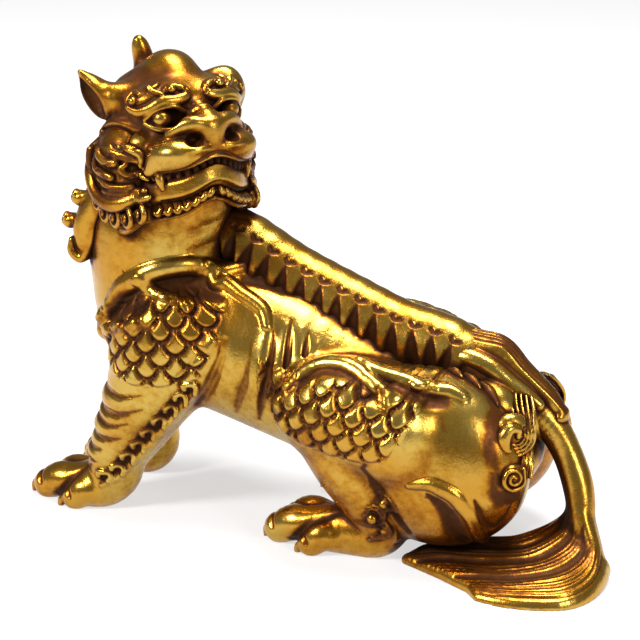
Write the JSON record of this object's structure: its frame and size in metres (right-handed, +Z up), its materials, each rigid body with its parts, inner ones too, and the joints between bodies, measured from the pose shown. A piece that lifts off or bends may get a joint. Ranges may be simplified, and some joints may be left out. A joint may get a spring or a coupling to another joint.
{
  "type": "diting statue",
  "caption": "Gilt bronze guardian beast sitting on its haunches with straight forelegs, head turned back over its shoulder, scaled flanks, crested spine and a long tail tuft on the ground.",
  "frame": {"origin": "middle of the statue's footprint on the surface it stands on, under the middle of its bounding box", "axes": "+Z up; the beast's body lies along X with its chest towards -X and its tail towards +X; its left flank, the side its head looks over, faces -Y"},
  "size_m": [0.1912, 0.0834, 0.1509],
  "materials": {
    "gilt_bronze": "fire-gilt cast bronze, polished on the raised forms, with dark reddish-brown patina left in the hollows"
  },
  "bodies": {
    "root": {"statue": "gilt_bronze"}
  },
  "joints": []
}
